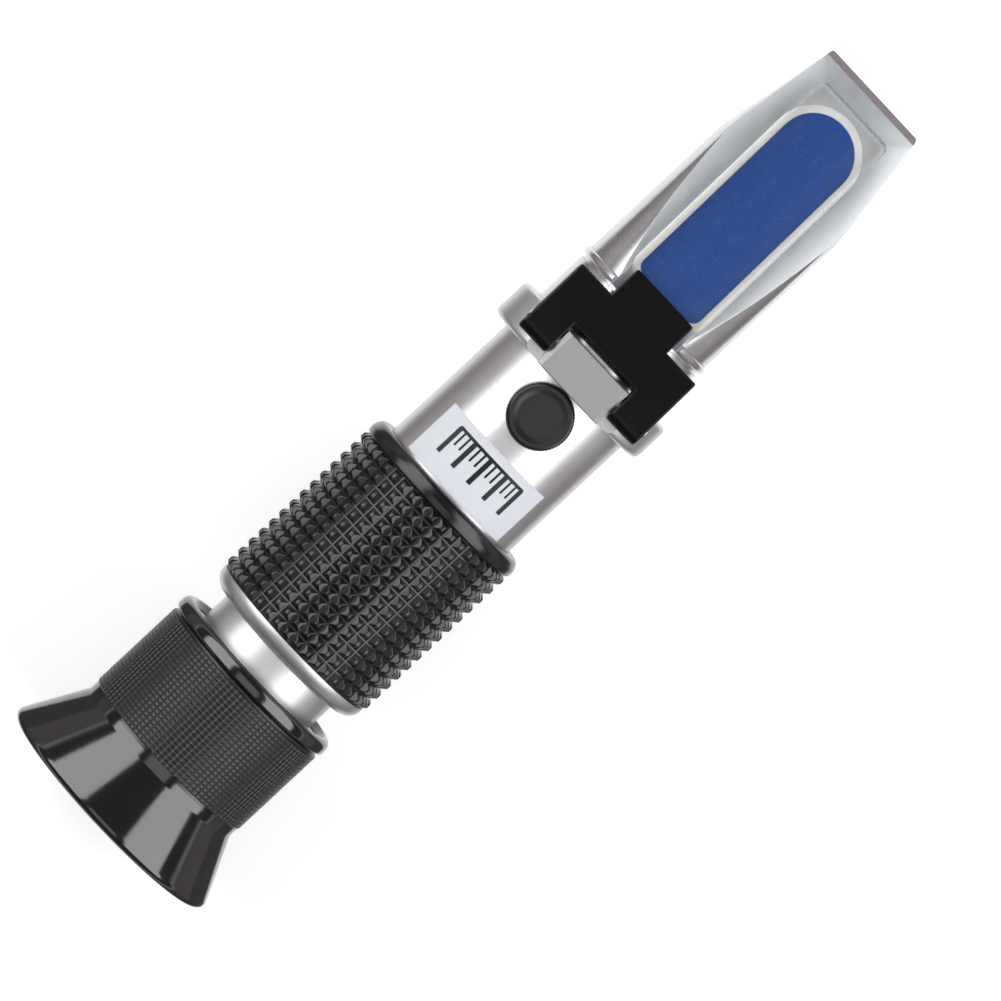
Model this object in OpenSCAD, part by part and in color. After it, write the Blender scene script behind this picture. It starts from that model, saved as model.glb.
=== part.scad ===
// Hand-held refractometer, lying along +X with its daylight plate up.
// X = 0 is the rim plane of the eyecup, and the X axis is the optical axis.

/* [Main tube] */
// Radius of the main tube
tube_r = 12.5; // [12:0.1:15.5]
// Wall of the main tube
tube_wall = 1.6; // [1.3:0.05:2]
// Bare length of tube between grip and hinge collar
tube_show = 23.2; // [21:0.1:40]

/* [Eyecup] */
// Radius of the eyecup at its rim
rim_r = 20.2; // [18:0.1:25]
// Length from the rim to the neck of the cup
cup_len = 10.9; // [8:0.1:14]
// Wall of the knurled barrel
barrel_wall = 1.95; // [1.5:0.05:2.5]
// Rise of the lip above the barrel
lip_rise = 0.25; // [0.1:0.05:0.6]
// Length of that lip
lip_len = 2.6; // [2.2:0.1:4]
// Whole length of the eyecup
eyecup_len = 31.4; // [26:0.1:40]
// Thickness of the rim bead
rim_bead = 3; // [2.5:0.1:4]

/* [Eyepiece] */
// Free length of tube between eyecup and flange
focus_gap = 4.3; // [3.6:0.1:7]
// Focusing travel each way from the middle
focus_travel = 3; // [1:0.1:3.5]
// Step in radius from the main tube down to the eyepiece tube
eye_tube_step = 1.1; // [0.8:0.1:1.3]
// Wall of the eyepiece tube
eye_tube_wall = 1.4; // [1:0.1:1.8]
// Wall of the focusing sleeve
sleeve_wall = 1.95; // [1.4:0.05:2.4]
// Wall of the lens cell
cell_wall = 1.35; // [1:0.05:1.8]
// Thickness of the eye lens
eye_lens_t = 4; // [3:0.1:5]
// Thickness of the field lens
field_lens_t = 3; // [2.4:0.1:4]
// Length of the ring between the two lenses
spacer_len = 4; // [2:0.1:5]

/* [Flange and grip] */
// Rise of the flange above the main tube
flange_rise = 2.35; // [1.5:0.05:4]
// Length of the flange
flange_len = 2.7; // [2:0.1:5]
// Length of the rubber grip
grip_len = 32; // [26:0.1:45]
// Thickness of the grip over its studs
grip_t = 2.7; // [2:0.05:4]
// Depth of the valleys between the studs
stud_depth = 0.65; // [0.3:0.05:1]
// Number of rows of studs
stud_rows = 14; // [4:1:14]
// Length of the smooth lip at the front of the grip
grip_lip_len = 2.9; // [2.4:0.1:4]

/* [Label] */
// Length of the label along the tube
label_len = 9.6; // [4:0.1:12]
// Angle that the label wraps round the tube
label_angle = 99; // [30:1:150]
// Thickness of the label
label_t = 0.1; // [0.1:0.05:0.15]

/* [Scale glass] */
// Thickness of the scale disc
scale_t = 1.5; // [1:0.1:2.5]
// Length of the ring in front of the scale disc
scale_ring_len = 1.5; // [1:0.1:3]

/* [Objective] */
// Radius of the objective lens
objective_r = 5.5; // [4.4:0.1:5.8]
// Thickness of the objective lens
objective_t = 3; // [2:0.1:4]
// Distance from the calibration screw back to the objective
objective_back = 8.4; // [8:0.1:12]
// Thickness of the bimetal strip
strip_t = 0.5; // [0.3:0.05:0.7]
// Width of the bimetal strip
strip_w = 7.6; // [6.3:0.1:9.2]

/* [Calibration screw] */
// Radius of the rubber cap
cap_r = 5.1; // [4.2:0.05:6.2]
// Height of the cap above the tube
cap_height = 3; // [2.9:0.05:4]
// Nominal radius of the calibration screw
screw_r = 1.25; // [1:0.05:1.5]
// Radius of the screw head
screw_head_r = 2; // [1.6:0.05:2.4]
// Pitch of the calibration thread
screw_pitch = 0.45; // [0.25:0.05:0.45]

/* [Hinge collar] */
// Thickness of the hinge collar round the tube
collar_t = 2.7; // [2.2:0.05:4]
// Length of the hinge collar
collar_len = 6.5; // [5.4:0.1:9]
// Width of the hinge block on the collar
block_w = 12.7; // [10:0.1:15.3]
// Height of the block above the hinge pin's axis
block_rise = 1.9; // [1.4:0.1:3]
// Radius of the hinge pin
pin_r = 1; // [0.7:0.05:1.2]
// Distance of the hinge pin behind the collar's front face
pin_back = 2.2; // [1.8:0.1:2.7]

/* [Cover] */
// Width of the hinge leaf
leaf_w = 24.5; // [20:0.1:29.5]
// Thickness of the hinge leaf
leaf_t = 3.2; // [2.7:0.05:3.9]
// Length of the leaf's arms and body from the hinge pin
leaf_len = 10.3; // [8.5:0.1:12]
// Length of the tongue beyond the leaf's body
tongue_len = 4.3; // [2:0.1:6]
// Width of the tongue
tongue_w = 11.9; // [8:0.1:14]
// Distance from the tip back to the end of the clear plate
plate_tip_gap = 4.6; // [3:0.1:6]
// Width of the clear plate
plate_w = 14.2; // [13.9:0.1:17]
// Thickness of the clear plate
plate_t = 2; // [1.6:0.1:2.4]

/* [Prism housing] */
// Step in radius from the main tube down to the housing
housing_step = 0.15; // [0.1:0.05:0.4]
// Length of the housing in front of the collar
housing_len = 56.6; // [50:0.1:70]
// Height of the milled flat, run back to the hinge pin, above the tube
flat_rise = 0.66; // [0.5:0.02:1]
// Height of the flat at the tip
tip_z = -0.2; // [-1:0.1:0.5]
// How far the tapered front end narrows in radius
taper = 3.15; // [1:0.05:3.8]
// Length of that tapered end
taper_len = 19.5; // [10:0.1:24]
// Radius of the bore for the light
light_r = 6; // [4:0.1:7]

/* [Prism] */
// Width of the prism
prism_w = 12.2; // [10:0.1:12.3]
// Length of the prism along the flat
prism_len = 37.4; // [30:0.1:37.8]
// Distance from the tip back to the prism
prism_tip_gap = 6.9; // [6:0.1:9]
// Depth of the prism at its back end
prism_depth = 8; // [6:0.1:9.6]
// Width of the sealant round the prism
seal_w = 1.3; // [0.8:0.1:1.4]

/* [Clearances] */
// Radial clearance of running fits and threads
run_gap = 0.05; // [0.02:0.01:0.1]
// Gap between faces that stay apart
face_gap = 0.1; // [0.1:0.05:0.15]
// Gap of the sample film under the clear plate
film_gap = 0.15; // [0.1:0.05:0.3]

/* [Hidden] */
$fn = 96;
reach = 40;                                        // longer than any cut needs to be
eps = 0.01;

// Radii that follow the main tube
tube_bore_r = tube_r - tube_wall;
eye_tube_r = tube_r - eye_tube_step;
sleeve_bore_r = eye_tube_r + run_gap;
sleeve_r = sleeve_bore_r + sleeve_wall;
barrel_r = sleeve_r + barrel_wall;
neck_r = barrel_r - 0.2;
lip_r = barrel_r + lip_rise;
cell_r = eye_tube_r - eye_tube_wall - run_gap;
lens_r = cell_r - cell_wall;
flange_r = tube_r + flange_rise;
grip_r = tube_r + grip_t;
collar_r = tube_r + collar_t;
housing_r = tube_r - housing_step;
tip_r = housing_r - taper;

// Stations along the optical axis
flange_x = eyecup_len + focus_gap;
grip_x = flange_x + flange_len;
grip_front_x = grip_x + grip_len;
collar_x = grip_front_x + tube_show;
collar_front_x = collar_x + collar_len;
joint_x = collar_x + collar_len / 2;               // tube end meets housing inside the collar
tip_x = collar_front_x + housing_len;
pin_x = collar_front_x - pin_back;
cap_gap = 0.15;
cap_x = collar_x - cap_r - cap_gap;

// Eyepiece
cup_floor_x = cup_len - 0.9;
cup_floor_t = 1.5;
sleeve_x = cup_floor_x + cup_floor_t;
sleeve_end_x = eyecup_len - 1.2;
cell_flange_x = sleeve_x + face_gap;
cell_flange_t = 1.6;
cell_flange_r = eye_tube_r + 0.8;
lens_stop_x = cell_flange_x + 1.4;
eye_lens_end_x = lens_stop_x + eye_lens_t;
field_lens_x = eye_lens_end_x + spacer_len;
retainer_x = field_lens_x + field_lens_t;
retainer_len = 1.6;
cell_end_x = retainer_x + retainer_len + 0.6;
eye_tube_x = cell_flange_x + cell_flange_t + focus_travel + 0.6;

// Main tube and the scale inside it
tube_seat = 1.2;                                   // tube end sunk into the flange
scale_x = grip_x + 7.6;
scale_shoulder_x = scale_x + scale_t + scale_ring_len;
baffle_x = (scale_shoulder_x + cap_x - objective_back) / 2;

// Objective carriage
screw_turns = 1.5;
screw_lift = screw_turns * screw_pitch;
carriage_len = 5;
carriage_r = tube_bore_r - 1;
carriage_bore_r = objective_r + 0.3;
deck_z = objective_r + 1.7;                        // flat tops that carry the strip
spring_seat_z = 1.3 - carriage_r;
mount_r = deck_z + 0.7;
lens_ring_len = 1.2;
mount_lip = 0.8;
mount_len = mount_lip + objective_t + lens_ring_len;
objective_x = cap_x - objective_back;
mount_x = objective_x - mount_len / 2;
strip_back_x = mount_x - 0.5;
strip_front_x = cap_x + carriage_len / 2;
small_screw_r = 0.6;
small_head_r = 1.1;
small_head_t = 0.8;
small_screw_depth = 1.1;
carriage_screw_y = strip_w / 2 - small_head_r;
mount_screw_y = 1.9;

// Calibration screw, its bush and its cap
cap_top_z = tube_r + cap_height;
cap_wall = 0.75;
cap_dish = 0.1;
bush_flange_r = cap_r - cap_wall - run_gap;
bush_body_r = screw_head_r + 1;
bush_top_z = cap_top_z - cap_wall - 0.3;
tip_pin_r = 0.9;
tip_pin_depth = 0.9;
tip_pin_z = deck_z - tip_pin_depth;
screw_step_z = deck_z + strip_t + small_head_t;
bush_foot_z = screw_step_z + screw_lift + 0.525;
head_floor_z = tube_r - 0.5;
head_z = head_floor_z + screw_lift + 0.12;
head_t = 1;

// Hinge and cover; the flat's own frame has its origin at the tip and +X down the slope
slant = atan((tube_r + flat_rise - tip_z) / (tip_x - pin_x));
leaf_lift = 0.3;                                   // underside of the leaf above the flat
prism_rise = 0.25;
seal_rise = 0.12;
plate_z = prism_rise + film_gap;
leaf_top = leaf_lift + leaf_t;
pin_local_z = leaf_lift + leaf_t / 2;
pin_z = tip_z + (tip_x - pin_x) * tan(slant) + pin_local_z / cos(slant);
pin_local_x = (pin_x - tip_x) / cos(slant) - pin_local_z * tan(slant);
pin_end = 0.25;                                    // pin standing out of each arm
leaf_tail = 2.65;                                  // arm end behind the pin
slot_end = pin_back + 1.5;
block_gap = 0.2;
block_top = pin_z + block_rise;
side_flat_z = pin_z - leaf_tail - 0.4;
leaf_body_end = pin_local_x + leaf_len;
tongue_end = leaf_body_end + tongue_len;
plate_back = tongue_end - 7;
plate_end = -plate_tip_gap;
plate_len = plate_end - plate_back;

// Housing
bead_x = collar_front_x + 9.1;
bead_len = 1.4;
bead_r = housing_r + 0.4;
groove_len = 0.5;
groove_depth = 0.4;
spigot_len = 4.2;
prism_end = -prism_tip_gap;
prism_back = prism_end - prism_len;
prism_corner = 1.5;
prism_front_depth = 3;
seal_depth = 2;

// A solid of revolution about the optical axis; its points are [radius, x]
module turned(points) {
    rotate([0, 90, 0]) rotate_extrude() polygon(points);
}

// A plain ring about the optical axis
module ring(outer, inner, x0, x1) {
    turned([[inner, x0], [outer, x0], [outer, x1], [inner, x1]]);
}

// A plain rod along the optical axis
module rod(r, x0, x1) {
    translate([x0, 0, 0]) rotate([0, 90, 0]) cylinder(r = r, h = x1 - x0);
}

// Points of a rounding in a [radius, x] profile
function round_points(r, x, size, a0, a1, steps = 6) =
    [for (i = [0:steps]) let (a = a0 + (a1 - a0) * i / steps) [r + size * cos(a), x + size * sin(a)]];

// Moves the children into the frame of the milled flat: origin at the tip, +X down the slope
module on_flat() {
    translate([tip_x, 0, tip_z]) rotate([0, slant, 0]) children();
}

// A lens: one flat and one domed face, dome towards +X when facing is 1 and towards -X when it is -1
module lens(r, t, x, dome, facing) {
    flat_x = facing > 0 ? x : x + t;
    intersection() {
        rod(r, x, x + t);
        translate([flat_x + facing * (t - dome), 0, 0]) sphere(r = dome, $fn = 240);
    }
}

// Outline of the prism seen square to the milled flat, grown by a margin
module prism_outline(grow = 0) {
    half = prism_w / 2;
    translate([prism_end - half, 0]) circle(r = half + grow);
    translate([prism_back + prism_corner, -half - grow])
        square([prism_len - prism_corner - half, prism_w + 2 * grow]);
    translate([prism_back - grow, -half + prism_corner])
        square([prism_corner + 2 * grow, prism_w - 2 * prism_corner]);
    for (side = [-1, 1])
        translate([prism_back + prism_corner, side * (half - prism_corner)]) circle(r = prism_corner + grow);
}

// ---- Eyecup and eyepiece -------------------------------------------------

// Soft eyecup with its knurled barrel
module eyecup() {
    outer_round = 1.2;
    inner_round = 1;
    bowl_r = rim_r - rim_bead;
    groove_x = eyecup_len - lip_len - 0.5;
    color("#1e1e22") turned(concat(
        round_points(bowl_r + inner_round, inner_round, inner_round, 180, 270),
        round_points(rim_r - outer_round, outer_round, outer_round, 270, 360),
        [[neck_r, cup_len], [neck_r, cup_len + 1], [barrel_r, cup_len + 2.2],
         [barrel_r, groove_x], [barrel_r - 0.3, groove_x + 0.2], [barrel_r - 0.3, groove_x + 0.5]],
        round_points(lip_r - 1, eyecup_len - lip_len + 1, 1, 0 - 30, 0, 2),
        round_points(lip_r - 1.1, eyecup_len - 1.1, 1.1, 0, 75),
        [[sleeve_r + 0.5, eyecup_len], [sleeve_r, sleeve_end_x + 0.3], [sleeve_r, sleeve_x],
         [lens_r + 0.7, sleeve_x], [lens_r + 0.7, cup_floor_x], [cell_flange_r + 0.8, cup_floor_x]]
    ));
}

// Sleeve that carries the eyecup and turns on the eyepiece tube
module focus_sleeve() {
    shoulder_x = cell_flange_x + cell_flange_t + face_gap;
    color("#9a9ca0") turned([
        [cell_flange_r + face_gap, sleeve_x], [sleeve_r, sleeve_x],
        [sleeve_r, sleeve_end_x - 0.4], [sleeve_r - 0.4, sleeve_end_x],
        [sleeve_bore_r + 0.3, sleeve_end_x], [sleeve_bore_r, sleeve_end_x - 0.3],
        [sleeve_bore_r, shoulder_x], [cell_flange_r + face_gap, shoulder_x]
    ]);
}

// Lens cell that slides in the eyepiece tube, held by its flange in the sleeve
module eyepiece_cell() {
    color("#2a2a2c") turned([
        [lens_r - 0.8, cell_flange_x], [cell_flange_r, cell_flange_x],
        [cell_flange_r, cell_flange_x + cell_flange_t], [cell_r, cell_flange_x + cell_flange_t],
        [cell_r, cell_end_x], [lens_r, cell_end_x], [lens_r, lens_stop_x], [lens_r - 0.8, lens_stop_x]
    ]);
}

// Lens nearest the eye
module eye_lens() {
    color("#cfe3ee") lens(lens_r, eye_lens_t, lens_stop_x, 22, 1);
}

// Ring that keeps the two lenses apart
module lens_spacer() {
    color("#2a2a2c") ring(lens_r, lens_r - 1.2, eye_lens_end_x, field_lens_x);
}

// Lens nearest the scale
module field_lens() {
    color("#cfe3ee") lens(lens_r, field_lens_t, field_lens_x, 30, -1);
}

// Threaded ring that clamps the lenses in their cell
module lens_retainer() {
    color("#2a2a2c") difference() {
        ring(lens_r, lens_r - 1.5, retainer_x, retainer_x + retainer_len);
        translate([retainer_x + retainer_len - 0.6, -lens_r, -0.5]) cube([1, 2 * lens_r, 1]);
    }
}

// Fixed tube that the focusing sleeve turns on
module eyepiece_tube() {
    bore = eye_tube_r - eye_tube_wall;
    color("#c9cbd0") turned([
        [bore, eye_tube_x], [eye_tube_r - 0.3, eye_tube_x], [eye_tube_r, eye_tube_x + 0.3],
        [eye_tube_r, scale_x], [bore, scale_x]
    ]);
}

// ---- Body ---------------------------------------------------------------

// Domed ring that closes the back of the grip
module rear_flange() {
    steps = 8;
    rise = flange_r - eye_tube_r;
    dome = [for (i = [0:steps])
        let (a = 90 * i / steps) [eye_tube_r + rise * sin(a), grip_x - flange_len * cos(a)]];
    color("#d2d4d8") turned(concat(
        dome,
        [[tube_r, grip_x], [tube_r, grip_x - tube_seat], [eye_tube_r, grip_x - tube_seat]]
    ));
}

// Soft sleeve over the back of the main tube
module rubber_grip() {
    field_len = grip_len - grip_lip_len;
    pitch = field_len / stud_rows;
    root_r = grip_r - stud_depth;
    rows = [for (i = [0:stud_rows - 1]) let (x = grip_x + i * pitch)
        each [[root_r, x + 0.12 * pitch], [grip_r, x + 0.38 * pitch],
              [grip_r, x + 0.62 * pitch], [root_r, x + 0.88 * pitch]]];
    color("#1e1e22") turned(concat(
        [[tube_r, grip_x], [root_r, grip_x]],
        rows,
        [[root_r, grip_front_x - grip_lip_len]],
        round_points(grip_r - 0.95, grip_front_x - grip_lip_len + 0.8, 0.8, -50, 0, 3),
        round_points(grip_r - 1.75, grip_front_x - 1.6, 1.6, 0, 90),
        [[tube_r, grip_front_x]]
    ));
}

// Long tube that holds the optics
module main_tube() {
    color("#d8dade") difference() {
        turned([
            [eye_tube_r, grip_x - tube_seat], [tube_r, grip_x - tube_seat], [tube_r, joint_x],
            [tube_bore_r, joint_x], [tube_bore_r, scale_shoulder_x], [eye_tube_r, scale_shoulder_x]
        ]);
        translate([cap_x, 0, 0]) cylinder(r = bush_body_r, h = reach);
    }
}

// Thin sticker wrapped on the top of the tube
module tube_label() {
    color("#f2f3f6") rotate([0, 90, 0]) rotate([0, 0, 180 - label_angle / 2])
        rotate_extrude(angle = label_angle)
            translate([tube_r, grip_front_x + 0.3]) square([label_t, label_len]);
}

// Glass disc with the printed scale
module scale_disc() {
    color("#dfe9ee") rod(eye_tube_r - face_gap, scale_x, scale_x + scale_t);
}

// Ring between the scale disc and the tube's shoulder
module scale_ring() {
    color("#2a2a2c") ring(eye_tube_r, tube_bore_r - 1.5, scale_x + scale_t, scale_shoulder_x);
}

// Blackened stop that keeps stray light off the scale
module light_baffle() {
    color("#2a2a2c") ring(tube_bore_r, objective_r - 0.5, baffle_x, baffle_x + 1.5);
}

// ---- Calibration --------------------------------------------------------

// Ring under the calibration screw, free to move up and down in the tube
module lens_carriage() {
    color("#b9a36a") difference() {
        rod(carriage_r, cap_x - carriage_len / 2, cap_x + carriage_len / 2);
        rod(carriage_bore_r, cap_x - carriage_len, cap_x + carriage_len);
        translate([cap_x - carriage_len, -reach / 2, deck_z]) cube([2 * carriage_len, reach, reach]);
        translate([cap_x - carriage_len, -reach / 2, spring_seat_z - reach]) cube([2 * carriage_len, reach, reach]);
        translate([cap_x, 0, tip_pin_z]) cylinder(r = tip_pin_r + run_gap, h = reach);
        for (side = [-1, 1]) translate([cap_x, side * carriage_screw_y, deck_z - small_screw_depth])
            cylinder(r = small_screw_r, h = reach);
    }
}

// Two-metal strip that carries the objective and bends with temperature
module bimetal_strip() {
    color("#c08a4a") difference() {
        translate([strip_back_x, -strip_w / 2, deck_z]) cube([strip_front_x - strip_back_x, strip_w, strip_t]);
        translate([cap_x, 0, deck_z - 1]) cylinder(r = tip_pin_r + run_gap, h = 3);
        for (side = [-1, 1]) translate([cap_x, side * carriage_screw_y, deck_z - 1])
            cylinder(r = small_screw_r, h = 3);
        for (side = [-1, 1]) translate([objective_x, side * mount_screw_y, deck_z - 1])
            cylinder(r = small_screw_r, h = 3);
    }
}

// One small cheese-head screw, its head resting at z = 0
module small_screw() {
    translate([0, 0, -strip_t - small_screw_depth]) cylinder(r = small_screw_r, h = strip_t + small_screw_depth);
    difference() {
        cylinder(r = small_head_r, h = small_head_t);
        translate([-small_head_r, -0.15, small_head_t / 2]) cube([2 * small_head_r, 0.3, small_head_t]);
    }
}

// Four screws that hold the strip
module strip_screws() {
    color("#a8aaae") for (side = [-1, 1]) {
        translate([cap_x, side * carriage_screw_y, deck_z + strip_t]) small_screw();
        translate([objective_x, side * mount_screw_y, deck_z + strip_t]) small_screw();
    }
}

// Ring that holds the objective under the strip
module objective_mount() {
    color("#2a2a2c") difference() {
        rod(mount_r, mount_x, mount_x + mount_len);
        rod(objective_r, mount_x + mount_lip, mount_x + 2 * mount_len);
        rod(objective_r - 0.7, mount_x - 1, mount_x + mount_len);
        translate([mount_x - 1, -reach / 2, deck_z]) cube([2 * mount_len, reach, reach]);
        for (side = [-1, 1]) translate([objective_x, side * mount_screw_y, deck_z - small_screw_depth])
            cylinder(r = small_screw_r, h = reach);
    }
}

// Lens that throws the prism's shadow line on to the scale
module objective_lens() {
    color("#cfe3ee") lens(objective_r, objective_t, mount_x + mount_lip, 16, 1);
}

// Ring that clamps the objective in its mount
module objective_ring() {
    color("#2a2a2c")
        ring(objective_r, objective_r - 0.9, mount_x + mount_len - lens_ring_len, mount_x + mount_len);
}

// Bowed leaf spring that presses the carriage up against the screw
module return_spring() {
    spring_t = 0.3;
    spring_w = 3.4;
    top = spring_seat_z;
    foot = -sqrt(pow(tube_bore_r, 2) - pow(spring_w / 2, 2)) + 0.05;
    half_span = 4;
    sag = top - foot - spring_t;
    bow_r = (half_span * half_span + sag * sag) / (2 * sag);
    color("#c9cbd0") intersection() {
        translate([cap_x, spring_w / 2, top - bow_r - spring_t]) rotate([90, 0, 0]) difference() {
            cylinder(r = bow_r + spring_t, h = spring_w);
            translate([0, 0, -1]) cylinder(r = bow_r, h = spring_w + 2);
        }
        translate([cap_x - half_span, -spring_w, foot]) cube([2 * half_span, 2 * spring_w, reach]);
    }
}

// Threaded bush through the tube wall
module screw_bush() {
    color("#c9cbd0") difference() {
        union() {
            translate([cap_x, 0, bush_foot_z]) cylinder(r = bush_body_r, h = bush_top_z - bush_foot_z);
            difference() {
                translate([cap_x, 0, bush_foot_z]) cylinder(r = bush_flange_r, h = bush_top_z - bush_foot_z);
                rod(tube_r, cap_x - reach / 2, cap_x + reach / 2);
            }
        }
        translate([cap_x, 0, 0]) cylinder(r = screw_r + run_gap, h = reach);
        translate([cap_x, 0, head_floor_z]) cylinder(r = screw_head_r + face_gap, h = reach);
    }
}

// Slotted screw that sets the zero of the scale
module calibration_screw() {
    color("#c8b070") difference() {
        union() {
            translate([cap_x, 0, tip_pin_z]) cylinder(r = tip_pin_r, h = screw_step_z - tip_pin_z);
            translate([cap_x, 0, screw_step_z]) cylinder(r = screw_r, h = head_z - screw_step_z);
            translate([cap_x, 0, head_z]) cylinder(r = screw_head_r, h = head_t);
        }
        translate([cap_x - screw_head_r, -0.25, head_z + head_t / 2]) cube([2 * screw_head_r, 0.5, head_t]);
    }
}

// Push-on rubber cap over the calibration screw
module screw_cap() {
    color("#161618") difference() {
        translate([cap_x, 0, 0]) rotate_extrude() polygon([
            [0, 0], [cap_r, 0], [cap_r, cap_top_z - 0.5], [cap_r - 0.5, cap_top_z], [cap_r - 0.9, cap_top_z],
            [cap_r - 1.2, cap_top_z - cap_dish], [0, cap_top_z - cap_dish]
        ]);
        translate([cap_x, 0, -1]) cylinder(r = bush_flange_r + run_gap, h = cap_top_z - cap_wall + 1);
        rod(tube_r + cap_gap, cap_x - reach / 2, cap_x + reach / 2);
        translate([cap_x - reach / 2, -reach / 2, -1]) cube([reach, reach, tube_r - 2]);
    }
}

// ---- Hinge and cover ----------------------------------------------------

// Places the children at each set screw: two into the tube, two into the housing
module at_set_screws() {
    for (x = [(collar_x + joint_x) / 2, (joint_x + collar_front_x) / 2], angle = [135, 225])
        translate([x, 0, 0]) rotate([angle, 0, 0]) children();
}

// Collar that joins tube and housing, with the hinge block on top
module hinge_collar() {
    edge = 1;
    half = block_w / 2;
    chamfer = 0.75;
    color("#d2d4d8") difference() {
        union() {
            difference() {
                turned(concat(
                    [[tube_r, collar_x]],
                    round_points(collar_r - edge, collar_x + edge, edge, 270, 360),
                    round_points(collar_r - edge, collar_front_x - edge, edge, 0, 90),
                    [[tube_r, collar_front_x]]
                ));
                translate([collar_x - 1, -reach / 2, side_flat_z]) cube([collar_len + 2, reach, reach]);
            }
            difference() {
                translate([collar_x, 0, 0]) rotate([90, 0, 90]) linear_extrude(collar_len) polygon([
                    [-half, 0], [half, 0], [half, block_top - chamfer], [half - chamfer, block_top],
                    [chamfer - half, block_top], [-half, block_top - chamfer]
                ]);
                rod(tube_r, collar_x - 1, collar_front_x + 1);
            }
        }
        translate([pin_x, reach / 2, pin_z]) rotate([90, 0, 0]) cylinder(r = pin_r, h = reach);
        at_set_screws() translate([0, 0, tube_r - 1]) cylinder(r = 1, h = reach);
    }
}

// Headless screws that lock tube and housing in the collar
module collar_set_screws() {
    color("#808288") at_set_screws() difference() {
        translate([0, 0, tube_r]) cylinder(r = 1, h = collar_r - tube_r - 0.3);
        translate([0, 0, collar_r - 1.2]) cylinder(r = 0.5, h = 2, $fn = 6);
    }
}

// Pin pressed through the hinge block
module hinge_pin() {
    color("#8c8e94") translate([pin_x, leaf_w / 2 + pin_end, pin_z]) rotate([90, 0, 0]) cylinder(r = pin_r, h = leaf_w + 2 * pin_end);
}

// Black leaf with two arms round the block and a tongue over the plate
module hinge_leaf() {
    end_r = leaf_t / 2;
    half = leaf_w / 2;
    slot_half = block_w / 2 + block_gap;
    color("#18191c") difference() {
        on_flat() union() {
            translate([pin_local_x - leaf_tail + end_r, half, pin_local_z]) rotate([90, 0, 0])
                cylinder(r = end_r, h = leaf_w);
            translate([pin_local_x - leaf_tail + end_r, -half, leaf_lift])
                cube([leaf_len + leaf_tail - end_r, leaf_w, leaf_t]);
            translate([leaf_body_end - 1, -tongue_w / 2, plate_z + plate_t])
                cube([tongue_len + 1, tongue_w, leaf_top - plate_z - plate_t]);
        }
        on_flat() translate([pin_local_x - leaf_tail - 1, -slot_half, -1])
            cube([leaf_tail + 1 + slot_end, 2 * slot_half, reach / 2]);
        on_flat() translate([plate_back, -plate_w / 2, plate_z]) cube([reach, plate_w, plate_t]);
        on_flat() translate([plate_back, -plate_w / 2, 0]) cube([reach, plate_w, plate_z + eps]);
        translate([pin_x, reach / 2, pin_z]) rotate([90, 0, 0]) cylinder(r = pin_r + run_gap, h = reach);
    }
}

// Clear plate that spreads the sample over the prism
module daylight_plate() {
    corner = 1.2;
    color("#e6eef2", 0.5) on_flat() translate([0, 0, plate_z]) linear_extrude(plate_t) union() {
        translate([plate_back, -plate_w / 2]) square([plate_len - corner, plate_w]);
        translate([plate_end - corner - eps, corner - plate_w / 2]) square([corner + eps, plate_w - 2 * corner]);
        for (side = [-1, 1]) translate([plate_end - corner, side * (plate_w / 2 - corner)]) circle(r = corner);
    }
}

// ---- Prism end ----------------------------------------------------------

// Turned housing with its sloping flat, prism pocket and light bore
module prism_housing() {
    tip_chamfer = 1.1;
    color("#c6c9ce") difference() {
        turned(concat(
            [[light_r, joint_x - spigot_len], [tube_bore_r, joint_x - spigot_len], [tube_bore_r, joint_x],
             [tube_r, joint_x], [tube_r, collar_front_x], [housing_r, collar_front_x],
             [housing_r, bead_x - groove_len], [housing_r - groove_depth, bead_x - groove_len],
             [housing_r - groove_depth, bead_x]],
            round_points(bead_r - bead_len / 2, bead_x + bead_len / 2, bead_len / 2, -90, 90),
            [[housing_r, bead_x + bead_len], [housing_r, tip_x - taper_len], [tip_r, tip_x], [0, tip_x],
             [0, collar_front_x + 4], [light_r, collar_front_x + 4]]
        ));
        on_flat() translate([-2 * reach, -reach / 2, 0]) cube([4 * reach, reach, reach]);
        translate([tip_x, 0, tip_z - tip_chamfer]) rotate([0, 45 + slant / 2, 0])
            translate([-reach / 2, -reach / 2, 0]) cube([reach, reach, reach]);
        on_flat() translate([0, 0, -seal_depth]) linear_extrude(reach) prism_outline(seal_w);
        prism_wedge(face_gap);
        rod(light_r, collar_front_x, tip_x - prism_tip_gap - prism_len * cos(slant) + 3);
    }
}

// Wedge of glass below the flat, grown by a margin for its pocket
module prism_wedge(grow = 0) {
    floor_tilt = atan((prism_depth - prism_front_depth) / prism_len);
    on_flat() difference() {
        translate([0, 0, -prism_depth - grow]) linear_extrude(prism_depth + prism_rise + grow) prism_outline(grow);
        translate([prism_end, 0, -prism_front_depth - grow]) rotate([0, -floor_tilt, 0])
            translate([-2 * reach, -reach / 2, -reach]) cube([4 * reach, reach, reach]);
    }
}

// Blue measuring prism
module main_prism() {
    color("#1f4c98") prism_wedge();
}

// Pale sealant between prism and housing
module prism_sealant() {
    color("#f0f0ec") on_flat() translate([0, 0, -seal_depth]) linear_extrude(seal_depth + seal_rise) difference() {
        prism_outline(seal_w);
        prism_outline(0);
    }
}

eyecup();
focus_sleeve();
eyepiece_cell();
eye_lens();
lens_spacer();
field_lens();
lens_retainer();
eyepiece_tube();
rear_flange();
rubber_grip();
main_tube();
tube_label();
scale_disc();
scale_ring();
light_baffle();
lens_carriage();
bimetal_strip();
strip_screws();
objective_mount();
objective_lens();
objective_ring();
return_spring();
screw_bush();
calibration_screw();
screw_cap();
hinge_collar();
collar_set_screws();
hinge_pin();
hinge_leaf();
daylight_plate();
prism_housing();
main_prism();
prism_sealant();
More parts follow.
